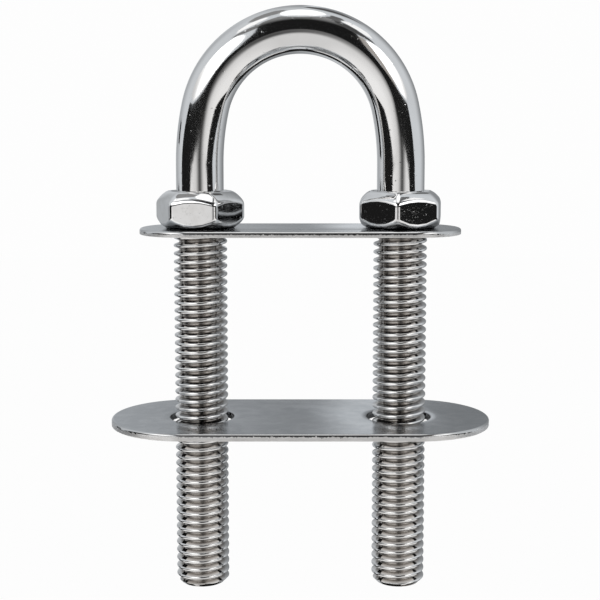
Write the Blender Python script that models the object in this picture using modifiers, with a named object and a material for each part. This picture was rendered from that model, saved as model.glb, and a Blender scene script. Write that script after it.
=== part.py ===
# Bow eye: a polished U-bolt with rolled threads on both legs, a hex nut on each leg,
# a face plate for the outside of the hull and a backing plate for the inside.
# Run in Blender 4.5. Lengths are in metres and +Z points out of the hull.
# X runs through both legs. The origin is the centre of the face plate's underside.

import math

import bmesh
import bpy
from mathutils import Matrix

# Driving dimensions
INCH = 0.0254
THREADS_PER_INCH = 13
THREAD_DIAMETER = 0.0127
ROD_DIAMETER = 0.0112
LEG_SPACING = 0.0474
STRAIGHT_ABOVE_NUT = 0.0063
LEG_LENGTH = 0.0863
NUT_ACROSS_FLATS = 0.0186
NUT_HEIGHT = 0.0084
NUT_CORNER_RADIUS = 0.0014
NUT_TOP_CHAMFER_WIDTH = 0.0021
NUT_SEAT_CHAMFER_WIDTH = 0.0011
FACE_PLATE_LENGTH = 0.0761
FACE_PLATE_WIDTH = 0.0239
FACE_PLATE_THICKNESS = 0.0014
FACE_PLATE_HOLE_CLEARANCE = 0.001
BACKING_PLATE_LENGTH = 0.0909
BACKING_PLATE_WIDTH = 0.0366
BACKING_PLATE_THICKNESS = 0.0017
BACKING_PLATE_HOLE_CLEARANCE = 0.0027
BACKING_PLATE_DEPTH = 0.0444

# Forms of the thread and of the edges, as shares of the sizes above
CROWN_RADIUS_SHARE = 0.481
SHOULDER_RADIUS_SHARE = 1.33
CREST_FLAT_SHARE = 0.22
THREAD_HALF_ANGLE = math.radians(30)
LEFT_THREAD_TURN_SHARE = 0.68
RIGHT_THREAD_TURN_SHARE = 0.87
END_FACE_SHARE = 0.82
NUT_DOME_TOP = math.radians(32)
NUT_DOME_RIM = math.radians(46)
NUT_DOME_CORNER = math.radians(34)
NUT_SEAT_CHAMFER = math.radians(30)
NUT_SEAT_CORNER_CHAMFER = math.radians(49)
NUT_TOP_CHAMFER_SHARE = 0.55
LEFT_NUT_TURN = math.radians(23.5)
RIGHT_NUT_TURN = math.radians(-8.7)
COUNTERSINK_SHARE = 1.06
EDGE_ROLL_SHARE = 0.17
HOLE_ROLL_SHARE = 0.08
HOLE_ROLL_DEPTH_SHARE = 0.2
SHARP_ANGLE = math.radians(28)

# Clearances
SEAT_GAP = 0.0003
THREAD_GAP = 0.0003
CUT_OVERRUN = 0.002
WELD_DISTANCE = 0.000001

# Facets
THREAD_STEPS = 16
ROD_SEGMENTS = 28
CROWN_STEPS = 20
SHOULDER_STEPS = 2
LATHE_SEGMENTS = 30
PLATE_END_STEPS = 20
HOLE_SEGMENTS = 30
ROLL_STEPS = 2
CORNER_STEPS = 3

# Derived sizes
THREAD_PITCH = INCH / THREADS_PER_INCH
CREST_FLAT = THREAD_PITCH * CREST_FLAT_SHARE
THREAD_DEPTH = (THREAD_PITCH - CREST_FLAT) / 2 / math.tan(THREAD_HALF_ANGLE)
THREAD_RADIUS = THREAD_DIAMETER / 2
ROOT_RADIUS = THREAD_RADIUS - THREAD_DEPTH
ROD_RADIUS = ROD_DIAMETER / 2
SINK_RADIUS = THREAD_RADIUS * COUNTERSINK_SHARE + THREAD_GAP
NECK_RADIUS = min(ROOT_RADIUS, ROD_RADIUS) - SEAT_GAP / 2
FACE_PLATE_HOLE = THREAD_DIAMETER + FACE_PLATE_HOLE_CLEARANCE
BACKING_PLATE_HOLE = THREAD_DIAMETER + BACKING_PLATE_HOLE_CLEARANCE
LEG_X = LEG_SPACING / 2
PLATE_TOP = FACE_PLATE_THICKNESS
NUT_BOTTOM = PLATE_TOP + SEAT_GAP
NUT_TOP = NUT_BOTTOM + NUT_HEIGHT
LEG_END = PLATE_TOP - LEG_LENGTH
# Three arcs make the bend: the crown's, and a gentler one on each side down to the straight legs.
CROWN_RADIUS = LEG_SPACING * CROWN_RADIUS_SHARE
SHOULDER_RADIUS = LEG_SPACING * SHOULDER_RADIUS_SHARE
CROWN_TURN = math.asin((SHOULDER_RADIUS - LEG_X) / (SHOULDER_RADIUS - CROWN_RADIUS))
SHOULDER_DROP = (SHOULDER_RADIUS - CROWN_RADIUS) * math.cos(CROWN_TURN)
CROWN_TOP = NUT_TOP + STRAIGHT_ABOVE_NUT + SHOULDER_DROP + CROWN_RADIUS
BACKING_TOP = -BACKING_PLATE_DEPTH
# The plain rod's neck ends this far below the nut's top, inside the countersink.
ROD_NECK_DEPTH = THREAD_RADIUS * COUNTERSINK_SHARE - ROOT_RADIUS
# The backing plate has slid back until the front rims of its holes meet the threads.
BACKING_SLIDE = BACKING_PLATE_HOLE_CLEARANCE / 2 - SEAT_GAP


def clear_scene():
    for obj in list(bpy.data.objects):
        bpy.data.objects.remove(obj, do_unlink=True)


def make_collection(name):
    collection = bpy.data.collections.new(name)
    bpy.context.scene.collection.children.link(collection)
    return collection


def make_material(name, colour, roughness):
    material = bpy.data.materials.new(name)
    material.use_nodes = True
    shader = material.node_tree.nodes["Principled BSDF"]
    shader.inputs["Base Color"].default_value = (*colour, 1.0)
    shader.inputs["Metallic"].default_value = 1.0
    shader.inputs["Roughness"].default_value = roughness
    material.diffuse_color = (*colour, 1.0)
    return material


def link_helper(obj):
    CUTTERS.objects.link(obj)
    obj.hide_render = True
    obj.display_type = "WIRE"
    return obj


def evaluated_mesh(obj):
    """The object's mesh with its modifiers applied and its seams welded."""
    bpy.context.view_layer.update()
    graph = bpy.context.evaluated_depsgraph_get()
    mesh = bpy.data.meshes.new_from_object(obj.evaluated_get(graph))
    work = bmesh.new()
    work.from_mesh(mesh)
    bmesh.ops.remove_doubles(work, verts=work.verts, dist=WELD_DISTANCE)
    work.to_mesh(mesh)
    work.free()
    return mesh


def bake(obj):
    """Replaces the object's mesh by its evaluated mesh."""
    mesh = evaluated_mesh(obj)
    obj.modifiers.clear()
    obj.data = mesh
    return obj


def profile_object(name, points):
    """An object that holds an open profile of (radius, height) points, for a Screw."""
    mesh = bpy.data.meshes.new(name)
    edges = [(i, i + 1) for i in range(len(points) - 1)]
    mesh.from_pydata([(r, 0, z) for r, z in points], edges, [])
    return link_helper(bpy.data.objects.new(name, mesh))


def lathe(name, points, segments):
    """A solid of revolution about Z. The points run from the top of the axis down the outside."""
    obj = profile_object(name, points)
    screw = obj.modifiers.new("Turn", "SCREW")
    screw.axis = "Z"
    screw.steps = segments
    screw.render_steps = segments
    screw.use_merge_vertices = True
    screw.merge_threshold = WELD_DISTANCE
    return bake(obj)


def close_with_point(work, edges, height):
    """Closes one stepped end of a helical surface with triangles to a point on the axis."""
    tip = work.verts.new((0, 0, height))
    for edge in edges:
        work.faces.new((tip, *edge.verts))


def helical_thread(name, gap, low, high, turn_share):
    """A closed solid thread about Z that covers low to high, larger by the gap all round.

    Its turns are counted from the nut's seat, so a leg and its nut always mesh.
    """
    phase = NUT_BOTTOM + THREAD_PITCH * turn_share
    start = phase + THREAD_PITCH * (math.floor((low - phase) / THREAD_PITCH) - 1)
    turns = math.ceil((high - start) / THREAD_PITCH) + 1
    flank = (THREAD_PITCH - CREST_FLAT) / 2
    root = ROOT_RADIUS + gap
    crest = THREAD_RADIUS + gap
    heights = (THREAD_PITCH, THREAD_PITCH - flank, flank, 0)
    radii = (root, crest, crest, root)
    obj = profile_object(name, [(r, start + z) for r, z in zip(radii, heights)])
    screw = obj.modifiers.new("Helix", "SCREW")
    screw.axis = "Z"
    screw.screw_offset = THREAD_PITCH
    screw.iterations = turns
    screw.steps = THREAD_STEPS
    screw.render_steps = THREAD_STEPS
    screw.use_merge_vertices = False
    bake(obj)
    work = bmesh.new()
    work.from_mesh(obj.data)
    rim = [edge for edge in work.edges if edge.is_boundary]
    middle = start + THREAD_PITCH * turns / 2
    lower = [edge for edge in rim if edge.verts[0].co.z < middle]
    upper = [edge for edge in rim if edge.verts[0].co.z > middle]
    close_with_point(work, lower, start - THREAD_PITCH)
    close_with_point(work, upper, start + THREAD_PITCH * (turns + 2))
    bmesh.ops.recalc_face_normals(work, faces=work.faces)
    work.to_mesh(obj.data)
    work.free()
    return obj


def boolean(obj, other, operation):
    modifier = obj.modifiers.new(operation.title(), "BOOLEAN")
    modifier.operation = operation
    modifier.solver = "EXACT"
    modifier.object = other
    return modifier


def finish_piece(obj, material):
    """Moves a finished solid to the part's collection, shaded smooth but for its sharp edges."""
    bake(obj)
    obj.data.materials.clear()
    obj.data.materials.append(material)
    obj.data.shade_smooth()
    obj.data.set_sharp_from_angle(angle=SHARP_ANGLE)
    if obj.name in CUTTERS.objects:
        CUTTERS.objects.unlink(obj)
    PART.objects.link(obj)
    obj.hide_render = False
    obj.display_type = "TEXTURED"
    obj.parent = ROOT
    return obj


def threaded_leg(name, x, turn_share):
    """One leg's thread, cut square at the foot with a chamfer and run out under the nut's top."""
    obj = helical_thread(name, 0, LEG_END, NUT_TOP, turn_share)
    outer = THREAD_RADIUS + THREAD_GAP
    foot = THREAD_RADIUS * END_FACE_SHARE
    top = NUT_TOP - ROD_NECK_DEPTH + SEAT_GAP
    points = [
        (0, top),
        (NECK_RADIUS, top),
        (outer, top - (outer - NECK_RADIUS)),
        (outer, LEG_END + (outer - foot)),
        (foot, LEG_END),
        (0, LEG_END),
    ]
    stock = lathe(name + "_stock", points, LATHE_SEGMENTS)
    boolean(obj, stock, "INTERSECT")
    bake(obj)
    obj.location.x = x
    stock.location.x = x
    return obj


def arch_points():
    """The rod's centre line from the left leg to the right one, with the radius at each point."""
    crown_centre = CROWN_TOP - CROWN_RADIUS
    spring = crown_centre - SHOULDER_DROP
    half = []
    for i in range(CROWN_STEPS // 2 + 1):
        angle = CROWN_TURN * i / (CROWN_STEPS // 2)
        half.append((CROWN_RADIUS * math.sin(angle), crown_centre + CROWN_RADIUS * math.cos(angle)))
    for i in range(1, SHOULDER_STEPS + 1):
        angle = CROWN_TURN + (math.pi / 2 - CROWN_TURN) * i / SHOULDER_STEPS
        x = LEG_X - SHOULDER_RADIUS * (1 - math.sin(angle))
        half.append((x, spring + SHOULDER_RADIUS * math.cos(angle)))
    shoulder = NUT_TOP - ROD_NECK_DEPTH + (ROD_RADIUS - NECK_RADIUS)
    half = [(x, z, ROD_RADIUS) for x, z in half]
    half.append((LEG_X, shoulder, ROD_RADIUS))
    half.append((LEG_X, NUT_TOP - ROD_NECK_DEPTH, NECK_RADIUS))
    half.append((LEG_X, NUT_TOP - ROD_NECK_DEPTH - SEAT_GAP, NECK_RADIUS))
    left = [(-x, z, r) for x, z, r in reversed(half[1:])]
    return left + half


def bent_rod(name):
    """The plain rod above the threads, as a round bar swept along the arch."""
    curve = bpy.data.curves.new(name + "_path", "CURVE")
    curve.dimensions = "3D"
    curve.bevel_depth = ROD_RADIUS
    curve.bevel_resolution = ROD_SEGMENTS // 4 - 2
    curve.use_fill_caps = True
    spline = curve.splines.new("POLY")
    points = arch_points()
    spline.points.add(len(points) - 1)
    for point, (x, z, radius) in zip(spline.points, points):
        point.co = (x, 0, z, 1)
        point.radius = radius / ROD_RADIUS
    path = link_helper(bpy.data.objects.new(name + "_path", curve))
    mesh = evaluated_mesh(path)
    work = bmesh.new()
    work.from_mesh(mesh)
    bmesh.ops.recalc_face_normals(work, faces=work.faces)
    work.to_mesh(mesh)
    work.free()
    return link_helper(bpy.data.objects.new(name, mesh))


def make_u_bolt():
    obj = bent_rod("u_bolt")
    left = threaded_leg("left_thread", -LEG_X, LEFT_THREAD_TURN_SHARE)
    right = threaded_leg("right_thread", LEG_X, RIGHT_THREAD_TURN_SHARE)
    boolean(obj, left, "UNION")
    boolean(obj, right, "UNION")
    return finish_piece(obj, POLISHED)


def nut_barrel(name):
    """The turned form that domes the top of a hex and chamfers its seat."""
    flat = NUT_ACROSS_FLATS / 2
    outer = NUT_ACROSS_FLATS / math.sqrt(3) + SEAT_GAP
    # Both end faces keep a ring outside the countersinks.
    ring = SINK_RADIUS + SEAT_GAP / 2
    top_face = max(flat - NUT_TOP_CHAMFER_WIDTH, ring)
    seat_face = max(flat - NUT_SEAT_CHAMFER_WIDTH, ring)
    dome = (top_face + flat) / 2
    dome_drop = (dome - top_face) * math.tan(NUT_DOME_TOP)
    rim_drop = dome_drop + (flat - dome) * math.tan(NUT_DOME_RIM)
    top_drop = rim_drop + (outer - flat) * math.tan(NUT_DOME_CORNER)
    seat_rise = (flat - seat_face) * math.tan(NUT_SEAT_CHAMFER)
    corner_rise = seat_rise + (outer - flat) * math.tan(NUT_SEAT_CORNER_CHAMFER)
    # The corners keep a short upright edge between the two chamfers.
    flatten = min(1, (NUT_HEIGHT * NUT_TOP_CHAMFER_SHARE - SEAT_GAP) / top_drop)
    corner_rise = min(corner_rise, NUT_HEIGHT * (1 - NUT_TOP_CHAMFER_SHARE) - SEAT_GAP)
    points = [
        (0, NUT_TOP),
        (top_face, NUT_TOP),
        (dome, NUT_TOP - dome_drop * flatten),
        (flat, NUT_TOP - rim_drop * flatten),
        (outer, NUT_TOP - top_drop * flatten),
        (outer, NUT_BOTTOM + corner_rise),
        (flat, NUT_BOTTOM + seat_rise),
        (seat_face, NUT_BOTTOM),
        (0, NUT_BOTTOM),
    ]
    return lathe(name, points, LATHE_SEGMENTS)


def make_nut(name, x, turn, turn_share):
    work = bmesh.new()
    radius = NUT_ACROSS_FLATS / math.sqrt(3)
    bmesh.ops.create_cone(
        work,
        cap_ends=True,
        segments=6,
        radius1=radius,
        radius2=radius,
        depth=NUT_HEIGHT + CUT_OVERRUN,
    )
    upright = [e for e in work.edges if abs(e.verts[0].co.z - e.verts[1].co.z) > NUT_HEIGHT]
    bmesh.ops.bevel(
        work,
        geom=upright,
        offset=NUT_CORNER_RADIUS * math.tan(math.radians(30)),
        offset_type="OFFSET",
        segments=CORNER_STEPS,
        profile=0.5,
        affect="EDGES",
    )
    # The cone starts with a corner at +Y.
    bmesh.ops.rotate(work, verts=work.verts, matrix=Matrix.Rotation(turn, 3, "Z"))
    bmesh.ops.translate(work, verts=work.verts, vec=(0, 0, (NUT_TOP + NUT_BOTTOM) / 2))
    mesh = bpy.data.meshes.new(name)
    work.to_mesh(mesh)
    work.free()
    obj = link_helper(bpy.data.objects.new(name, mesh))
    barrel = nut_barrel(name + "_barrel")
    boolean(obj, barrel, "INTERSECT")
    low = NUT_BOTTOM - THREAD_PITCH
    tap = helical_thread(name + "_tap", THREAD_GAP, low, NUT_TOP + THREAD_PITCH, turn_share)
    boolean(obj, tap, "DIFFERENCE")
    core = ROOT_RADIUS
    over = CUT_OVERRUN
    top_points = [
        (0, NUT_TOP + over),
        (SINK_RADIUS + over, NUT_TOP + over),
        (core, NUT_TOP + core - SINK_RADIUS),
        (0, NUT_TOP + core - SINK_RADIUS),
    ]
    upper = lathe(name + "_upper_sink", top_points, LATHE_SEGMENTS)
    boolean(obj, upper, "DIFFERENCE")
    bottom_points = [(r, NUT_TOP + NUT_BOTTOM - z) for r, z in reversed(top_points)]
    lower = lathe(name + "_lower_sink", bottom_points, LATHE_SEGMENTS)
    boolean(obj, lower, "DIFFERENCE")
    for helper in (obj, barrel, tap, upper, lower):
        helper.location.x = x
    bpy.context.view_layer.update()
    return finish_piece(obj, NUT_STEEL)


def make_plate(name, length, width, thickness, top, hole, slide, rolled, material):
    """A flat plate with round ends and a punched hole for each leg."""
    end_x = (length - width) / 2
    outline = []
    for side in (1, -1):
        for i in range(PLATE_END_STEPS + 1):
            angle = math.pi * (i / PLATE_END_STEPS - 1 / 2)
            x = side * (end_x + width / 2 * math.cos(angle))
            outline.append((x, side * width / 2 * math.sin(angle)))
    work = bmesh.new()
    verts = [work.verts.new((x, y, top - thickness)) for x, y in outline]
    face = work.faces.new(verts)
    lifted = bmesh.ops.extrude_face_region(work, geom=[face])["geom"]
    moved = [v for v in lifted if isinstance(v, bmesh.types.BMVert)]
    bmesh.ops.translate(work, verts=moved, vec=(0, 0, thickness))
    bmesh.ops.recalc_face_normals(work, faces=work.faces)
    mesh = bpy.data.meshes.new(name)
    work.to_mesh(mesh)
    work.free()
    obj = link_helper(bpy.data.objects.new(name, mesh))
    bevel = obj.modifiers.new("Edge roll", "BEVEL")
    bevel.width = thickness * EDGE_ROLL_SHARE
    bevel.segments = 2
    bevel.limit_method = "ANGLE"
    bevel.angle_limit = SHARP_ANGLE
    for side, label in ((-1, "left"), (1, "right")):
        radius = hole / 2
        points = [(0, top + CUT_OVERRUN), (radius, top + CUT_OVERRUN)]
        if rolled:
            spread = hole * HOLE_ROLL_SHARE
            depth = thickness * HOLE_ROLL_DEPTH_SHARE
            points = [(0, top + CUT_OVERRUN), (radius + spread, top + CUT_OVERRUN)]
            for i in range(ROLL_STEPS + 1):
                share = i / ROLL_STEPS
                points.append((radius + spread * (1 - share) ** 2, top - depth * share))
        points.append((radius, top - thickness - CUT_OVERRUN))
        points.append((0, top - thickness - CUT_OVERRUN))
        punch = lathe(name + "_" + label + "_punch", points, HOLE_SEGMENTS)
        punch.location.x = side * LEG_X
        boolean(obj, punch, "DIFFERENCE")
    bpy.context.view_layer.update()
    finish_piece(obj, material)
    obj.location.y = slide
    return obj


clear_scene()
PART = make_collection("bow_eye")
CUTTERS = make_collection("cutters")
ROOT = bpy.data.objects.new("bow_eye", None)
PART.objects.link(ROOT)

POLISHED = make_material("polished_rod", (0.62, 0.62, 0.61), 0.08)
NUT_STEEL = make_material("polished_nut", (0.60, 0.60, 0.60), 0.1)
FACE_STEEL = make_material("face_plate_steel", (0.53, 0.54, 0.55), 0.28)
BACKING_STEEL = make_material("backing_plate_steel", (0.50, 0.52, 0.54), 0.32)

make_u_bolt()
make_nut("hex_nut_left", -LEG_X, LEFT_NUT_TURN, LEFT_THREAD_TURN_SHARE)
make_nut("hex_nut_right", LEG_X, RIGHT_NUT_TURN, RIGHT_THREAD_TURN_SHARE)
make_plate(
    "face_plate",
    FACE_PLATE_LENGTH,
    FACE_PLATE_WIDTH,
    FACE_PLATE_THICKNESS,
    PLATE_TOP,
    FACE_PLATE_HOLE,
    0,
    False,
    FACE_STEEL,
)
make_plate(
    "backing_plate",
    BACKING_PLATE_LENGTH,
    BACKING_PLATE_WIDTH,
    BACKING_PLATE_THICKNESS,
    BACKING_TOP,
    BACKING_PLATE_HOLE,
    BACKING_SLIDE,
    True,
    BACKING_STEEL,
)
CUTTERS.hide_render = True
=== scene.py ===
# Bow eye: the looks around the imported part, its studio and its camera.

import math
from collections import namedtuple

import bmesh
import bpy
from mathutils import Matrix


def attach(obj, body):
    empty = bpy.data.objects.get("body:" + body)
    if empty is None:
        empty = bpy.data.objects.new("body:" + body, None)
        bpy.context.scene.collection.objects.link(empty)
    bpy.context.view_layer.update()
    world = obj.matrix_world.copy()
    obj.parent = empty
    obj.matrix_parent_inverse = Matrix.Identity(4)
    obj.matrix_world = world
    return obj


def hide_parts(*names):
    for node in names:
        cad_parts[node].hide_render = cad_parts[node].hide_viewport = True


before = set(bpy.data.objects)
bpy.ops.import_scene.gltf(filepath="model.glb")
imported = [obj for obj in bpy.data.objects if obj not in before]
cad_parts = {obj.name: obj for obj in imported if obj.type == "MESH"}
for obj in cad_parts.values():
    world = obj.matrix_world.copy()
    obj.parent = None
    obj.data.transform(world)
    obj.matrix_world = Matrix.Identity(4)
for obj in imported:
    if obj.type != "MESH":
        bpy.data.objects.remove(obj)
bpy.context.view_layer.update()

# Sizes shared with the part's source, in metres
PITCH = 0.0254 / 13
THREAD_RADIUS = 0.00635
ROD_RADIUS = 0.0056
LEG_SPACING = 0.0474
LEG_X = LEG_SPACING / 2
CROWN_RADIUS = LEG_SPACING * 0.481
SHOULDER_RADIUS = LEG_SPACING * 1.33
PLATE_TOP = 0.0014
LEG_LENGTH = 0.0863
LEG_END = PLATE_TOP - LEG_LENGTH
FOOT_RADIUS = THREAD_RADIUS * 0.82
NUT_BOTTOM = 0.0017
NUT_TOP = 0.0101
STRAIGHT_ABOVE_NUT = 0.0063
CREST_FLAT = 0.22
THREAD_DEPTH = PITCH * (1 - CREST_FLAT) / 2 / math.tan(math.radians(30))
ROOT_RADIUS = THREAD_RADIUS - THREAD_DEPTH
BORE_GAP = 0.0003
SINK_SHARE = 1.06
SINK_RADIUS = THREAD_RADIUS * SINK_SHARE + BORE_GAP
NECK_RADIUS = ROOT_RADIUS - 0.00015
NECK_END = NUT_TOP - (THREAD_RADIUS * SINK_SHARE - ROOT_RADIUS)
NUT_FLATS = 0.0186
NUT_CORNER = 0.0014
NUT_TOP_FACE = 0.0072
NUT_SEAT_FACE = 0.0080
# By side, with -1 on the left: the thread's root above the nut's foot, as a share of the pitch,
# and the way the nut is turned
TURN_SHARE = {-1: 0.68, 1: 0.87}
NUT_TURN = {-1: math.radians(23.5), 1: math.radians(-8.7)}

# The look of a nut reaches down to its plate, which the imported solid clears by 0.3 mm.
NUT_SEAT = PLATE_TOP + 0.00003
# How far the dome's level lines go from a circle (0) towards the hex (1)
DOME_HEX_SHARE = 0.5
# Fall of the dome and rise of the seat's chamfer: a share of the way out, and of its square
DOME_SLOPE = 0.42
DOME_CURVE = 203
SEAT_SLOPE = 0.378
SEAT_CURVE = 219
# Height of the rounded edges above and below each flat, and how far in the upper one reaches
UPPER_EASE = 0.00065
UPPER_EASE_IN = UPPER_EASE * 0.6
LOWER_EASE = 0.00045

# Rounding of the rolled thread
CREST_ROUND = 0.00042
ROOT_ROUND = 0.00023
FLANK = math.radians(22)
# The thread and the plain rod overlap inside the nut, and change material there.
THREAD_TOP = NECK_END + 0.0003
POLISH_FROM = NECK_END + 0.0002

# Points round and along each form
THREAD_STEPS = 48
ROD_STEPS = 72
CROWN_STEPS = 40
SHOULDER_STEPS = 8
CORNER_STEPS = 6
DOME_STEPS = 11
UPPER_EASE_STEPS = 10
LOWER_EASE_STEPS = 6
SHEET_END_STEPS = 90
ROLL_STEPS = 8
DISH_STEPS = 6
PUNCH_STEPS = 96

# A plate sits back by slide. Its upper corner is rolled over by roll, the rim round a hole is
# dished by flare across and dish down, and the torn band begins at the share tear of its edge.
Sheet = namedtuple("Sheet", "length width thickness top hole slide roll flare dish tear")
FACE = Sheet(
    length=0.0761,
    width=0.0239,
    thickness=PLATE_TOP,
    top=PLATE_TOP,
    hole=0.0137,
    slide=0.0,
    roll=0.0006,
    flare=0.0006,
    dish=0.00015,
    tear=0.52,
)
BACKING = Sheet(
    length=0.0909,
    width=0.0366,
    thickness=0.0017,
    top=-0.0444,
    hole=0.0154,
    slide=0.00105,
    roll=0.00055,
    flare=0.0016,
    dish=0.00020,
    tear=0.40,
)


# Meshes

def mesh_object(name, verts, faces, sharp=35.0):
    mesh = bpy.data.meshes.new(name)
    mesh.from_pydata([tuple(v) for v in verts], [], faces)
    work = bmesh.new()
    work.from_mesh(mesh)
    bmesh.ops.remove_doubles(work, verts=work.verts, dist=2e-7)
    bmesh.ops.recalc_face_normals(work, faces=work.faces)
    work.to_mesh(mesh)
    work.free()
    mesh.shade_smooth()
    mesh.set_sharp_from_angle(angle=math.radians(sharp))
    obj = bpy.data.objects.new(name, mesh)
    bpy.context.scene.collection.objects.link(obj)
    return obj


def join(verts, faces, more_verts, more_faces):
    """Adds one set of points and faces to another."""
    start = len(verts)
    verts += more_verts
    faces += [tuple(start + i for i in face) for face in more_faces]


def grid_faces(rows, columns, start=0):
    """Faces between rows of points; each row closes on itself."""
    faces = []
    for i in range(rows - 1):
        for j in range(columns):
            a = start + i * columns + j
            b = start + i * columns + (j + 1) % columns
            faces.append((a, b, b + columns, a + columns))
    return faces


def thread_bends():
    """Distances from the crest's middle to its flank, the root's rounding and the root's floor."""
    turn = math.pi / 2 - FLANK
    flank = CREST_ROUND * math.sin(turn)
    fallen = CREST_ROUND * (1 - math.cos(turn))
    root = flank + (THREAD_DEPTH - fallen - ROOT_ROUND * (1 - math.cos(turn))) * math.tan(FLANK)
    return flank, root, root + ROOT_ROUND * math.sin(turn)


def thread_radius(u):
    """Radius of the rolled thread at a share u of one pitch, counted from root to root."""
    off = abs(u % 1.0 - 0.5) * PITCH
    flank, root, floor_start = thread_bends()
    if off < flank:
        return THREAD_RADIUS - CREST_ROUND + math.sqrt(CREST_ROUND ** 2 - off ** 2)
    if off < root:
        fallen = CREST_ROUND * (1 - math.sin(FLANK))
        return THREAD_RADIUS - fallen - (off - flank) / math.tan(FLANK)
    if off < floor_start:
        return ROOT_RADIUS + ROOT_ROUND - math.sqrt(ROOT_ROUND ** 2 - (floor_start - off) ** 2)
    return ROOT_RADIUS


def thread_stations():
    """Shares of one pitch at which the thread's curve needs a point."""
    flank, root, floor_start = thread_bends()
    turn = math.pi / 2 - FLANK
    half = [CREST_ROUND * math.sin(turn * share) for share in (0.12, 0.36, 0.6, 0.8, 1)]
    half += [root + (floor_start - root) * share for share in (0, 0.3, 0.65)]
    offs = [-PITCH / 2] + [-off for off in reversed(half)] + half
    return [off / PITCH + 0.5 for off in offs]


def helix_surface(low, high, phase, limit, gap=0.0):
    """Rows of points on a threaded surface between two heights; limit trims the radius."""
    first = math.floor((low - phase) / PITCH) - 1
    last = math.ceil((high - phase) / PITCH)
    stations = thread_stations()
    heights = [k + u for k in range(first, last + 1) for u in stations]
    steps = THREAD_STEPS
    verts = []
    for base in heights:
        for j in range(steps):
            angle = 2 * math.pi * j / steps
            z = phase + PITCH * (base + j / steps)
            z = min(max(z, low), high)
            u = (z - phase) / PITCH - j / steps
            r = limit(thread_radius(u) + gap, z)
            verts.append((r * math.cos(angle), r * math.sin(angle), z))
    per_turn = len(stations)
    faces = []
    for i in range(len(heights) - 1):
        for j in range(steps):
            a, d = i * steps + j, (i + 1) * steps + j
            if j < steps - 1:
                faces.append((a, a + 1, d + 1, d))
            elif i + 1 + per_turn < len(heights):
                faces.append((a, (i + per_turn) * steps, (i + 1 + per_turn) * steps, d))
    return verts, drop_degenerate(verts, faces)


def drop_degenerate(verts, faces):
    """Keeps the faces that still have area after the ends of a helix were clamped."""
    keep = []
    for face in faces:
        corners = []
        for i in face:
            if all(math.dist(verts[i], verts[j]) > 1e-7 for j in corners):
                corners.append(i)
        if len(corners) > 2:
            keep.append(tuple(corners))
    return keep


def leg_limit(r, z):
    """Trims the thread at the leg's end and at the neck under the plain rod."""
    return min(r, FOOT_RADIUS + (z - LEG_END), NECK_RADIUS + (THREAD_TOP - z))


def bore_limit(r, z):
    """Opens a nut's thread to a 45 degree countersink at both ends."""
    return max(r, SINK_RADIUS - (NUT_TOP - z), SINK_RADIUS - (z - NUT_SEAT))


def rod_path():
    """Points (x, z, slope, radius) of the plain rod, from one leg's thread to the other's."""
    turn = math.asin((SHOULDER_RADIUS - LEG_X) / (SHOULDER_RADIUS - CROWN_RADIUS))
    spring = NUT_TOP + STRAIGHT_ABOVE_NUT
    centre = spring + (SHOULDER_RADIUS - CROWN_RADIUS) * math.cos(turn)
    half = []
    for i in range(CROWN_STEPS + 1):
        a = turn * i / CROWN_STEPS
        z = centre + CROWN_RADIUS * math.cos(a)
        half.append((CROWN_RADIUS * math.sin(a), z, a, ROD_RADIUS))
    for i in range(1, SHOULDER_STEPS + 1):
        a = turn + (math.pi / 2 - turn) * i / SHOULDER_STEPS
        x = LEG_X - SHOULDER_RADIUS * (1 - math.sin(a))
        half.append((x, spring + SHOULDER_RADIUS * math.cos(a), a, ROD_RADIUS))
    shoulder = NECK_END + ROD_RADIUS - NECK_RADIUS
    for z, r in (
        (shoulder + 0.0015, ROD_RADIUS),
        (shoulder + 0.0004, ROD_RADIUS),
        (shoulder + 0.00012, ROD_RADIUS - 0.00001),
        (shoulder - 0.00008, ROD_RADIUS - 0.00010),
        (NECK_END, NECK_RADIUS),
    ):
        half.append((LEG_X, z, math.pi / 2, r))
    return [(-x, z, -a, r) for x, z, a, r in reversed(half[1:])] + half


def u_bolt():
    verts, faces = [], []
    for side in (-1, 1):
        phase = NUT_BOTTOM + PITCH * TURN_SHARE[side]
        v, f = helix_surface(LEG_END, THREAD_TOP, phase, leg_limit)
        join(verts, faces, [(x + side * LEG_X, y, z) for x, y, z in v], f)
        foot = []
        for j in range(THREAD_STEPS):
            a = 2 * math.pi * j / THREAD_STEPS
            x = side * LEG_X + FOOT_RADIUS * math.cos(a)
            foot.append((x, FOOT_RADIUS * math.sin(a), LEG_END))
        join(verts, faces, foot, [range(THREAD_STEPS)])
    path = rod_path()
    rod = []
    for x, z, a, r in path:
        for j in range(ROD_STEPS):
            t = 2 * math.pi * j / ROD_STEPS
            out = r * math.cos(t)
            rod.append((x + out * math.sin(a), r * math.sin(t), z + out * math.cos(a)))
    join(verts, faces, rod, grid_faces(len(path), ROD_STEPS))
    return mesh_object("u_bolt_look", verts, faces, 40)


def hex_outline():
    """Pairs of (angle, radius) round a hex with rounded corners, the first corner at angle zero."""
    side_angle = math.radians(60)
    reach = (NUT_FLATS / 2 - NUT_CORNER) / math.cos(math.radians(30))
    turn = math.atan2(NUT_CORNER / 2, reach + NUT_CORNER * math.cos(math.radians(30)))
    pairs = []
    for k in range(6):
        corner = math.radians(60 * k)
        for i in range(-CORNER_STEPS, CORNER_STEPS + 1):
            a = turn * i / CORNER_STEPS
            rounded = math.sqrt(NUT_CORNER ** 2 - (reach * math.sin(a)) ** 2)
            pairs.append((corner + a, reach * math.cos(a) + rounded))
        for share in (0.03, 0.25, 0.5, 0.75, 0.97):
            a = turn + (side_angle - 2 * turn) * share
            pairs.append((corner + a, NUT_FLATS / 2 / math.cos(math.radians(30) - a)))
    return pairs


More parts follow.
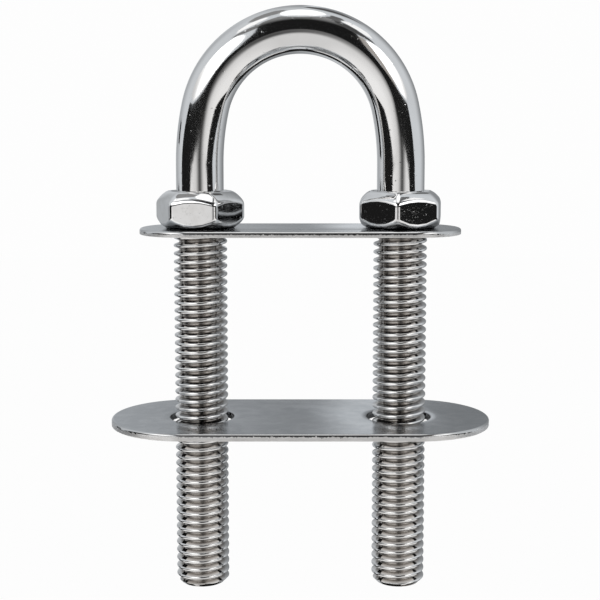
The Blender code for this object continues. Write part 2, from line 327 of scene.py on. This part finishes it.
def stretch(rim):
    """How much wider than over a flat the dome's level lines are where the hex reaches rim."""
    return 1 + DOME_HEX_SHARE * (rim / (NUT_FLATS / 2) - 1)


def dome(r, rim):
    """Height of the domed top, whose level lines lie between a circle and the hex."""
    x = r / stretch(rim) - NUT_TOP_FACE
    return NUT_TOP - (DOME_SLOPE * x + DOME_CURVE * x * x if x > 0 else 0.0)


def seat_chamfer(r):
    """Height of the nut's underside, which rises outside the seat."""
    x = max(0.0, r - NUT_SEAT_FACE)
    return NUT_SEAT + SEAT_SLOPE * x + SEAT_CURVE * x * x


def eased(before, corner, after, steps):
    """Points on a small curve that rounds a corner, both ends left out."""
    points = []
    for i in range(1, steps):
        t = i / steps
        r = (1 - t) ** 2 * before[0] + 2 * t * (1 - t) * corner[0] + t * t * after[0]
        z = (1 - t) ** 2 * before[1] + 2 * t * (1 - t) * corner[1] + t * t * after[1]
        points.append((r, z))
    return points


def nut_column(angle, rim):
    """Points (radius, height, angle) down one side of a nut, from its bore to its bore."""
    start = NUT_TOP_FACE * stretch(rim)
    top = [(SINK_RADIUS, NUT_TOP), (start - 0.00008, NUT_TOP)]
    for i in range(DOME_STEPS + 1):
        r = start + (rim - UPPER_EASE_IN - start) * i / DOME_STEPS
        top.append((r, dome(r, rim)))
    after = (rim, dome(rim, rim) - UPPER_EASE)
    top += eased(top[-1], (rim, dome(rim, rim)), after, UPPER_EASE_STEPS)
    top += [after, (rim, after[1] - 0.0001)]
    low = [(SINK_RADIUS, NUT_SEAT), (NUT_SEAT_FACE - 0.0002, NUT_SEAT)]
    for share in (0, 0.08, 0.25, 0.45, 0.65, 0.82, 0.94, 1):
        r = NUT_SEAT_FACE + (rim - LOWER_EASE - NUT_SEAT_FACE) * share
        low.append((r, seat_chamfer(r)))
    corner = (rim, seat_chamfer(rim))
    after = (rim, corner[1] + LOWER_EASE)
    low += eased(low[-1], corner, after, LOWER_EASE_STEPS)
    low += [after, (rim, after[1] + 0.0001)]
    height = low[-1][1] - top[-1][1]
    middle = [(rim, top[-1][1] + height * share) for share in (0.33, 0.67)]
    return [(r, z, angle) for r, z in top + middle + low[::-1]]


def nut(side):
    columns = [nut_column(angle, rim) for angle, rim in hex_outline()]
    rows = len(columns[0])
    turned = NUT_TURN[side] - math.pi / 2
    c, s = math.cos(turned), math.sin(turned)
    verts = []
    for i in range(rows):
        for column in columns:
            r, z, angle = column[i]
            x, y = r * math.cos(angle), r * math.sin(angle)
            verts.append((x * c - y * s, x * s + y * c, z))
    faces = grid_faces(rows, len(columns))
    phase = NUT_BOTTOM + PITCH * TURN_SHARE[side]
    join(verts, faces, *helix_surface(NUT_SEAT, NUT_TOP, phase, bore_limit, BORE_GAP))
    verts = [(x + side * LEG_X, y, z) for x, y, z in verts]
    name = "hex_nut_left_look" if side < 0 else "hex_nut_right_look"
    return mesh_object(name, verts, faces, 50)


def lathe(name, points, x):
    """Solid turned round an upright axis at x."""
    verts = []
    for r, z in points:
        for j in range(PUNCH_STEPS):
            a = 2 * math.pi * j / PUNCH_STEPS
            verts.append((x + r * math.cos(a), r * math.sin(a), z))
    faces = grid_faces(len(points), PUNCH_STEPS)
    faces.append(tuple(range(PUNCH_STEPS)))
    faces.append(tuple(range(len(verts) - PUNCH_STEPS, len(verts))))
    return mesh_object(name, verts, faces)


def edge_section(sheet):
    """Points (inset, depth) of the sheared edge: a rolled corner, an upright band, a sharp foot."""
    roll, thickness = sheet.roll, sheet.thickness
    section = [(roll + 0.0008, 0.0), (roll + 0.0001, 0.0)]
    for i in range(ROLL_STEPS + 1):
        a = math.pi / 2 * i / ROLL_STEPS
        section.append((roll * (1 - math.sin(a)), roll * (1 - math.cos(a))))
    section += [(0.0, roll + 0.0001), (0.00002, thickness - 0.0002)]
    section += [(0.00002, thickness - 0.00010), (0.00005, thickness - 0.00003)]
    return section + [(0.00015, thickness)]


def punch_section(sheet):
    """Points (radius, height) of the tool that cuts a hole with a dished rim."""
    r = sheet.hole / 2
    points = [(r + sheet.flare, sheet.top + 0.002)]
    for i in range(DISH_STEPS + 1):
        share = i / DISH_STEPS
        points.append((r + sheet.flare * (1 - share) ** 2.2, sheet.top - sheet.dish * share))
    return points + [(r, sheet.top - sheet.thickness - 0.002)]


def plate(name, sheet):
    end_x = (sheet.length - sheet.width) / 2
    end_radius = sheet.width / 2
    outline = []
    for side in (1, -1):
        for i in range(SHEET_END_STEPS + 1):
            a = math.pi * (i / SHEET_END_STEPS - 0.5)
            x = end_x + end_radius * math.cos(a)
            outline.append((side * x, side * sheet.width / 2 * math.sin(a)))
    verts = []
    for inset, down in edge_section(sheet):
        for x, y in outline:
            straight = min(max(x, -end_x), end_x)
            d = math.hypot(x - straight, y)
            x_in = straight + (x - straight) * (1 - inset / d)
            verts.append((x_in, sheet.slide + y * (1 - inset / d), sheet.top - down))
    count = len(outline)
    faces = grid_faces(len(verts) // count, count)
    faces.append(tuple(range(count)))
    faces.append(tuple(range(len(verts) - count, len(verts))))
    obj = mesh_object(name, verts, faces, 60)
    for side in (-1, 1):
        punch = lathe(f"{name}_punch", punch_section(sheet), side * LEG_X)
        punch.location.y = sheet.slide
        cut = obj.modifiers.new("Hole", "BOOLEAN")
        cut.operation = "DIFFERENCE"
        cut.solver = "EXACT"
        cut.object = punch
        bpy.context.view_layer.update()
        graph = bpy.context.evaluated_depsgraph_get()
        mesh = bpy.data.meshes.new_from_object(obj.evaluated_get(graph))
        obj.modifiers.clear()
        obj.data = mesh
        bpy.data.objects.remove(punch)
    obj.data.shade_smooth()
    obj.data.set_sharp_from_angle(angle=math.radians(30))
    return obj


# Materials

class Nodes:
    """A short way to write a node tree."""

    def __init__(self, tree):
        self.tree = tree
        tree.nodes.clear()

    def new(self, kind, inputs=(), **settings):
        node = self.tree.nodes.new(kind)
        for key, value in settings.items():
            setattr(node, key, value)
        for key, value in dict(inputs).items():
            self.put(node.inputs[key], value)
        return node

    def put(self, socket, value):
        if isinstance(value, bpy.types.NodeSocket):
            self.tree.links.new(value, socket)
        else:
            socket.default_value = value

    def output(self, kind, shader):
        self.put(self.new(kind).inputs[0], shader.outputs[0])

    def math(self, operation, a, b=0.0):
        node = self.new("ShaderNodeMath", operation=operation)
        self.put(node.inputs[0], a)
        self.put(node.inputs[1], b)
        return node.outputs[0]

    def smooth(self, value, low, high):
        """Rises smoothly from 0 at low to 1 at high."""
        node = self.new("ShaderNodeMapRange", interpolation_type="SMOOTHSTEP")
        self.put(node.inputs["Value"], value)
        self.put(node.inputs["From Min"], low)
        self.put(node.inputs["From Max"], high)
        return node.outputs["Result"]

    def mix(self, factor, a, b, kind="RGBA"):
        node = self.new("ShaderNodeMix", data_type=kind)
        spots = [s for s in node.inputs if s.enabled]
        for socket, value in zip(spots, (factor, a, b)):
            self.put(socket, value)
        return next(s for s in node.outputs if s.enabled)

    def noise(self, vector, scale, detail=2.0, rough=0.5, stretch=(1, 1, 1)):
        moved = self.new("ShaderNodeMapping", {"Vector": vector, "Scale": stretch})
        node = self.new("ShaderNodeTexNoise", {"Vector": moved.outputs[0], "Scale": scale})
        self.put(node.inputs["Detail"], detail)
        self.put(node.inputs["Roughness"], rough)
        return node.outputs["Fac"]

    def object_place(self):
        return self.new("ShaderNodeTexCoord").outputs["Object"]

    def axes(self, vector):
        return self.new("ShaderNodeSeparateXYZ", {"Vector": vector}).outputs

    def normal_z(self):
        return self.axes(self.new("ShaderNodeNewGeometry").outputs["Normal"])["Z"]

    def leg_distance(self, x, y):
        """Distance from the axis of the nearer leg."""
        side = self.math("SUBTRACT", self.math("ABSOLUTE", x), LEG_X)
        squares = self.math("ADD", self.math("MULTIPLY", side, side), self.math("MULTIPLY", y, y))
        return self.math("SQRT", squares)

    def bump(self, shader, strength, distance, height):
        settings = {"Strength": strength, "Distance": distance, "Height": height}
        self.put(shader.inputs["Normal"], self.new("ShaderNodeBump", settings).outputs[0])


def grey(v, tint=0.0):
    """A grey that a positive tint makes warmer."""
    return (v * (1 + tint), v, v * (1 - tint), 1)


def metal(name, colour, roughness, build):
    """A metal whose marks are built over the plain colour and roughness."""
    material = bpy.data.materials.new(name)
    material.use_nodes = True
    n = Nodes(material.node_tree)
    plain = {"Metallic": 1.0, "Base Color": colour, "Roughness": roughness}
    shader = n.new("ShaderNodeBsdfPrincipled", plain)
    n.output("ShaderNodeOutputMaterial", shader)
    build(n, shader)
    return material


POLISH_BUMP = 0.00012
SHEET_BUMP = 0.0004


def rod_marks(n, shader):
    """Polished steel with fine rubbing marks and a few specks."""
    place = n.object_place()
    cloud = n.noise(place, 90, 3)
    fine = n.noise(place, 1500, 2, 0.6, (1, 1, 0.25))
    rough = n.math("ADD", n.math("MULTIPLY", cloud, 0.06), n.math("MULTIPLY", fine, 0.05))
    n.put(shader.inputs["Roughness"], n.math("ADD", rough, 0.015))
    colour = n.mix(n.smooth(cloud, 0.35, 0.7), grey(0.80, 0.004), grey(0.75, 0.008))
    n.put(shader.inputs["Base Color"], colour)
    specks = n.smooth(n.noise(place, 1100, 1), 0.70, 0.78)
    waves = n.noise(place, 140, 2)
    n.bump(shader, 0.12, POLISH_BUMP, n.math("ADD", n.math("MULTIPLY", waves, 0.5), specks))


def thread_marks(n, shader):
    """Rolled thread: polished crests, duller roots darkened by painted shade, small dings."""
    place = n.object_place()
    parts = n.axes(place)
    radius = n.leg_distance(parts["X"], parts["Y"])
    high = n.smooth(radius, ROOT_RADIUS, THREAD_RADIUS - 0.0001)
    cloud = n.noise(place, 350, 3)
    # Painted shade: the colour darkens and warms from the crests down into the roots of the thread.
    base = n.mix(high, grey(0.41, 0.06), grey(0.79, 0.01))
    stain = n.math("MULTIPLY", n.smooth(cloud, 0.5, 0.8), 0.35)
    n.put(shader.inputs["Base Color"], n.mix(stain, base, grey(0.42, 0.05)))
    root_rough = n.math("MULTIPLY", n.math("SUBTRACT", 1.0, high), 0.05)
    rough = n.math("ADD", root_rough, n.math("MULTIPLY", cloud, 0.05))
    n.put(shader.inputs["Roughness"], n.math("ADD", rough, 0.02))
    n.bump(shader, 0.1, POLISH_BUMP, n.noise(place, 900, 2, 0.6))


def nut_marks(n, shader):
    """Polished nut with hairline scratches, fine pits, a faintly uneven flat and painted shade on
    its underside.
    """
    place = n.object_place()
    cloud = n.noise(place, 260, 3)
    pits = n.smooth(n.noise(place, 2600, 1), 0.70, 0.80)
    hair = n.noise(place, 520, 2, 0.5, (1, 1, 1.6))
    hair = n.math("ABSOLUTE", n.math("SUBTRACT", hair, 0.5))
    hair = n.math("SUBTRACT", 1.0, n.smooth(hair, 0.0, 0.012))
    hair = n.math("MULTIPLY", hair, n.smooth(n.noise(place, 300, 2), 0.48, 0.62))
    marks = n.math("MAXIMUM", pits, n.math("MULTIPLY", hair, 0.5))
    plain = n.mix(n.smooth(cloud, 0.4, 0.7), grey(0.82, 0.004), grey(0.75, 0.01))
    colour = n.mix(n.math("MULTIPLY", marks, 0.35), plain, grey(0.35))
    # Painted shade: faces that look down, the nut's underside over its plate, darken towards
    # near-black.
    seat = n.smooth(n.math("MULTIPLY", n.normal_z(), -1.0), 0.35, 0.7)
    n.put(shader.inputs["Base Color"], n.mix(n.math("MULTIPLY", seat, 0.85), colour, grey(0.12)))
    rough = n.math("ADD", n.math("MULTIPLY", cloud, 0.06), n.math("MULTIPLY", marks, 0.3))
    n.put(shader.inputs["Roughness"], n.math("ADD", rough, 0.02))
    height = n.math("SUBTRACT", n.math("MULTIPLY", cloud, 0.35), n.math("MULTIPLY", pits, 0.5))
    n.bump(shader, 0.12, POLISH_BUMP, height)


def sheet_marks(sheet, dark, bright):
    def build(n, shader):
        """Satin sheet whose sheared edge has a bright rolled corner above a torn band, and painted
        shade on its hole walls.
        """
        place = n.object_place()
        parts = n.axes(place)
        flat = n.smooth(n.math("ABSOLUTE", n.normal_z()), 0.80, 0.97)
        down = n.math("SUBTRACT", sheet.top, parts["Z"])
        down = n.math("DIVIDE", down, sheet.thickness)
        ragged = n.noise(place, 1500, 2, 0.7, (1, 1, 0.05))
        ragged = n.math("MULTIPLY", n.math("SUBTRACT", ragged, 0.5), 0.8)
        line = n.math("ADD", sheet.tear, ragged)
        torn = n.smooth(n.math("SUBTRACT", down, line), -0.03, 0.03)
        cloud = n.noise(place, 55, 3)
        mottle = n.math("MULTIPLY", n.noise(place, 320, 4, 0.6), 0.6)
        mottle = n.math("ADD", n.math("MULTIPLY", cloud, 0.4), mottle)
        face = n.mix(n.smooth(mottle, 0.38, 0.62), dark, bright)
        streak = n.noise(place, 900, 2, 0.6, (0.25, 1, 1))
        edge = n.mix(torn, grey(0.62), n.mix(streak, grey(0.62, 0.02), grey(0.98, 0.01)))
        off = n.leg_distance(parts["X"], n.math("SUBTRACT", parts["Y"], sheet.slide))
        rim = sheet.hole / 2
        # Painted shade: the walls of the holes round the legs, and a thin ring at their rims, go
        # near-black.
        painted_hole_shade = n.math("SUBTRACT", 1.0, n.smooth(off, rim + 0.00005, rim + 0.0002))
        n.put(shader.inputs["Base Color"], n.mix(painted_hole_shade, n.mix(flat, edge, face), grey(0.10)))
        edge_rough = n.math("ADD", 0.05, n.math("MULTIPLY", torn, 0.40))
        face_rough = n.math("ADD", 0.13, n.math("MULTIPLY", cloud, 0.10))
        n.put(shader.inputs["Roughness"], n.mix(flat, edge_rough, face_rough, "FLOAT"))
        grain = n.math("MULTIPLY", n.noise(place, 2200, 2, 0.6, (0.2, 1, 1)), 0.06)
        n.bump(shader, 0.10, SHEET_BUMP, n.math("ADD", n.noise(place, 60, 2), grain))

    return build


# The piece list

steel = metal("polished_rod", grey(0.78), 0.07, rod_marks)
thread_steel = metal("rolled_thread", grey(0.72), 0.14, thread_marks)
nut_steel = metal("polished_nut", grey(0.78), 0.08, nut_marks)
face_marks = sheet_marks(FACE, grey(0.60, -0.02), grey(0.68, -0.015))
face_steel = metal("face_plate_steel", grey(0.5), 0.24, face_marks)
backing_marks = sheet_marks(BACKING, grey(0.49, -0.03), grey(0.58, -0.02))
backing_steel = metal("backing_plate_steel", grey(0.5), 0.24, backing_marks)


def dress(piece, *materials):
    piece.data.materials.clear()
    for material in materials:
        piece.data.materials.append(material)
    return piece


bolt = dress(u_bolt(), steel, thread_steel)
for polygon in bolt.data.polygons:
    polygon.material_index = 1 if polygon.center.z < POLISH_FROM else 0
left_nut = dress(nut(-1), nut_steel)
right_nut = dress(nut(1), nut_steel)
face_plate = dress(plate("face_plate_look", FACE), face_steel)
backing_plate = dress(plate("backing_plate_look", BACKING), backing_steel)

looks = {
    "u_bolt": (bolt, "polished_rod", steel),
    "hex_nut_left": (left_nut, "polished_nut", nut_steel),
    "hex_nut_right": (right_nut, "polished_nut", nut_steel),
    "face_plate": (face_plate, "face_plate_steel", face_steel),
    "backing_plate": (backing_plate, "backing_plate_steel", backing_steel),
}
for node, (piece, slot, material) in looks.items():
    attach(piece, "root")
    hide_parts(node)
    dress(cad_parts[node], material)


# Studio

FLOOR_Z = -0.45
FLOOR_HALF = 4


def stage_object(name, mesh, material):
    obj = bpy.data.objects.new(name, mesh)
    bpy.context.scene.collection.objects.link(obj)
    mesh.materials.append(material)
    return obj


def seen_white(n, strength):
    """Plain white for camera, glossy and transmission rays, and the given level for the rest."""
    path = n.new("ShaderNodeLightPath").outputs
    seen = n.math("MAXIMUM", path["Is Glossy Ray"], path["Is Transmission Ray"])
    seen = n.math("MAXIMUM", path["Is Camera Ray"], seen)
    return n.mix(seen, strength, 1.0, "FLOAT")


world = bpy.data.worlds.new("studio")
bpy.context.scene.world = world
world.use_nodes = True
n = Nodes(world.node_tree)
sky = {"Color": grey(0.985), "Strength": seen_white(n, 0.98)}
n.output("ShaderNodeOutputWorld", n.new("ShaderNodeBackground", sky))

floor_material = bpy.data.materials.new("pale_floor")
floor_material.use_nodes = True
n = Nodes(floor_material.node_tree)
both = n.new("ShaderNodeAddShader")
n.put(both.inputs[0], n.new("ShaderNodeBsdfDiffuse", {"Color": grey(0.5)}).outputs[0])
glow = n.new("ShaderNodeEmission", {"Color": grey(1.0), "Strength": 0.5})
n.put(both.inputs[1], glow.outputs[0])
n.output("ShaderNodeOutputMaterial", both)
floor_mesh = bpy.data.meshes.new("floor")
floor_corners = [(-1, -1), (1, -1), (1, 1), (-1, 1)]
floor_verts = [(x * FLOOR_HALF, y * FLOOR_HALF, FLOOR_Z) for x, y in floor_corners]
floor_mesh.from_pydata(floor_verts, [], [(0, 1, 2, 3)])
floor = stage_object("floor", floor_mesh, floor_material)
floor.visible_glossy = False

# The light tent. Each panel is placed by the way it lies from the part: azimuth from the camera,
# positive to the right, and elevation, in degrees. Its shade is the grey that polished steel shows.

TENT_RADIUS = 2.0
PANEL_STEP = 0.02
PANEL_CUTS = 7
STEEL_REFLECTS = 0.78
BOX_LIGHT = 2.1
CEILING_LIGHT = 1.5


def shown(shade):
    """Emission that polished steel reflects as the given grey, which is 12 to 255."""
    return ((shade / 255 + 0.055) / 1.055) ** 2.4 / STEEL_REFLECTS


def toward(azimuth, elevation):
    a, e = math.radians(azimuth), math.radians(elevation)
    return (math.cos(e) * math.sin(a), -math.cos(e) * math.cos(a), math.sin(e))


def glow_material(name, light, tint):
    """Emission of one level, or a level that a function gives for each way from the part."""
    material = bpy.data.materials.new(name)
    material.use_nodes = True
    n = Nodes(material.node_tree)
    if callable(light):
        way = n.new("ShaderNodeVectorMath", {0: n.object_place()}, operation="NORMALIZE")
        axes = n.axes(way.outputs[0])
        light = light(n, axes["X"], n.math("MULTIPLY", axes["Y"], -1.0), axes["Z"])
    glow = n.new("ShaderNodeEmission", {"Color": (1 + tint, 1, 1 - tint, 1), "Strength": light})
    n.output("ShaderNodeOutputMaterial", glow)
    return material


def tent_object(name, work, light, tint):
    """Stage object that only reflections show."""
    mesh = bpy.data.meshes.new(name)
    work.to_mesh(mesh)
    work.free()
    obj = stage_object(name, mesh, glow_material(name, light, tint))
    obj.visible_camera = False
    obj.visible_diffuse = False
    obj.visible_shadow = False
    obj.visible_transmission = False


panel_names = []


def panel(name, light, corners, tint=0.0):
    """A curved panel between its corners; each later panel hangs in front of the ones before."""
    panel_names.append(name)
    radius = TENT_RADIUS - PANEL_STEP * len(panel_names)
    work = bmesh.new()
    rim = [work.verts.new(toward(*corner)) for corner in corners]
    middle = [sum(v.co[i] for v in rim) for i in range(3)]
    length = math.hypot(*middle)
    centre = work.verts.new([c / length for c in middle])
    for a, b in zip(rim, rim[1:] + rim[:1]):
        work.faces.new((centre, a, b))
    bmesh.ops.subdivide_edges(work, edges=work.edges, cuts=PANEL_CUTS, use_grid_fill=True)
    for v in work.verts:
        v.co = v.co.normalized() * radius
    tent_object(name, work, light, tint)


def cloth(n, x, front, z):
    """Grey cloth all round: palest in front, darker behind and to its right, with a soft patch."""
    middle = n.new("ShaderNodeMapRange", {"Value": x, "From Min": -0.25, "From Max": 0.05})
    n.put(middle.inputs["To Min"], shown(184))
    n.put(middle.inputs["To Max"], shown(129))
    level = n.mix(n.smooth(x, -0.60, -0.28), shown(156), middle.outputs["Result"], "FLOAT")
    patch = n.math("SUBTRACT", n.smooth(x, 0.005, 0.06), n.smooth(x, 0.06, 0.12))
    patch = n.math("MULTIPLY", patch, n.smooth(z, 0.0, 0.1))
    behind = n.mix(patch, level, shown(205), "FLOAT")
    return n.mix(n.smooth(front, -0.95, -0.1), behind, shown(200), "FLOAT")


def table_top(n, x, front, z):
    """White table, brighter to the sides, with a soft dark shape near the middle of its front."""
    wide = n.smooth(n.math("ABSOLUTE", x), 0.15, 0.75)
    level = n.mix(wide, shown(202), shown(230), "FLOAT")
    offset = n.math("ABSOLUTE", n.math("SUBTRACT", x, 0.05))
    shape = n.math("SUBTRACT", 1.0, n.smooth(offset, 0.0, 0.36))
    shape = n.math("MULTIPLY", shape, n.smooth(z, -0.42, -0.20))
    shape = n.math("MULTIPLY", shape, n.smooth(front, 0.0, 0.3))
    return n.mix(shape, level, shown(75), "FLOAT")


def room(n, x, front, z):
    """The dark room behind the camera, lighter towards its ceiling."""
    return n.mix(n.smooth(z, 0.68, 0.88), shown(22), shown(125), "FLOAT")


def left_light(n, x, front, z):
    """Soft box that fades out to its left."""
    return n.mix(n.smooth(x, -0.93, -0.62), shown(200), BOX_LIGHT, "FLOAT")


def right_light(n, x, front, z):
    """Soft box that fades out to its right."""
    return n.mix(n.smooth(x, 0.62, 0.93), BOX_LIGHT, shown(200), "FLOAT")


work = bmesh.new()
bmesh.ops.create_uvsphere(work, u_segments=64, v_segments=32, radius=TENT_RADIUS)
tent_object("cloth", work, cloth, -0.04)

panel("low_left_shadow", shown(12), ((-113, -30), (-113, -2.8), (-127, -2.8), (-127, -30)))
panel("high_left_shadow", shown(12), ((-114, 2.5), (-114, 7), (-126, 7), (-126, 2.5)))
panel("dark_gap", shown(24), (
    (0, 9), (20, 10.5), (57, 11), (62, 1), (75, -6), (90, -13), (112, -23), (135, -31),
    (160, -42), (180, -52), (-160, -42), (-135, -30), (-112, -20), (-98, -8), (-87, 5),
    (-78, 13), (-60, 11), (-20, 9),
))
panel("table", table_top, (
    (0, -0.6), (20, -0.4), (38, -2.4), (51, -9.6), (72, -21), (90, -28), (110, -38),
    (130, -48), (155, -62), (180, -80), (-155, -62), (-130, -48), (-110, -37), (-90, -27),
    (-75, -19), (-60, -11), (-42, -2.2), (-20, -0.4),
), 0.006)
panel("black_room", room, (
    (0, 2), (12, 8), (16, 18), (24, 30), (38, 47), (58, 55), (50, 62), (34, 69), (12, 62),
    (0, 58), (-12, 62), (-28, 69), (-36, 58), (-31, 51), (-23, 42), (-15, 28), (-9, 12),
))
panel("warm_corner", shown(150), (
    (14, 10), (17, 20), (22, 28), (27, 35), (33, 40), (39, 39), (32, 29), (29, 20), (28, 11),
), 0.06)
panel("ceiling", CEILING_LIGHT, (
    (0, 66), (18, 68), (36, 73), (60, 76), (90, 77), (120, 77), (150, 76), (180, 76),
    (-150, 78), (-120, 80), (-90, 80), (-60, 78), (-40, 75), (-20, 69),
))
panel("left_box", left_light, (
    (-13, 10), (-16, 22), (-24, 34), (-33, 41), (-46, 46), (-58, 44), (-70, 36), (-80, 28),
    (-80, 17), (-62, 12.5),
))
panel("right_box", right_light, (
    (25, 15), (26, 21), (29, 27), (32, 33), (37, 38), (46, 41), (58, 41), (66, 34), (70, 24),
    (68, 16), (58, 13), (40, 13),
))
panel("left_wing", shown(252), (
    (-52, 56), (-46, 64), (-52, 70), (-72, 72), (-86, 64), (-80, 57), (-64, 53),
))
panel("right_wing", shown(243), (
    (60, 51), (54, 58), (58, 66), (76, 67), (92, 65), (92, 54), (76, 50),
))
panel("left_bar", shown(115), (
    (-62, 49), (-52, 47.5), (-40, 45), (-30, 42), (-24, 42), (-27, 50), (-34, 54), (-46, 53),
    (-56, 52),
))
panel("right_bar", shown(70), (
    (28, 43), (36, 42), (46, 43), (58, 43), (60, 46), (54, 52), (50, 58), (46, 62), (36, 62),
    (28, 55),
))
panel("right_cove", shown(95), (
    (36, 62), (34, 68), (45, 72), (62, 73), (80, 75), (100, 74), (100, 69), (80, 67), (62, 67),
    (50, 63),
))
panel("left_cove", shown(130), (
    (-85, 66), (-80, 78), (-105, 80), (-135, 78), (-160, 72), (-155, 63), (-135, 60),
    (-110, 62),
))
panel("back_right_gap", shown(78), (
    (142, 45), (142, 58), (150, 63), (170, 63), (178, 56), (176, 46), (160, 43),
))


# Camera

SENSOR_WIDTH = 36
FOCAL_PIXELS = 1270
FRAME_PIXELS = 600
CAMERA_DISTANCE = 0.300
CAMERA_HEIGHT = 0.0277
CAMERA_TILT = 6.5

camera_data = bpy.data.cameras.new("camera")
camera_data.sensor_width = SENSOR_WIDTH
camera_data.lens = FOCAL_PIXELS / FRAME_PIXELS * SENSOR_WIDTH
camera_data.shift_x = -0.0005
camera_data.shift_y = -0.066
camera_data.clip_start = 0.01
camera = bpy.data.objects.new("camera", camera_data)
bpy.context.scene.collection.objects.link(camera)
camera.location = (0, -CAMERA_DISTANCE, CAMERA_HEIGHT)
camera.rotation_euler = (math.radians(90 - CAMERA_TILT), 0, 0)
bpy.context.scene.camera = camera
bpy.context.scene.view_settings.view_transform = "Standard"
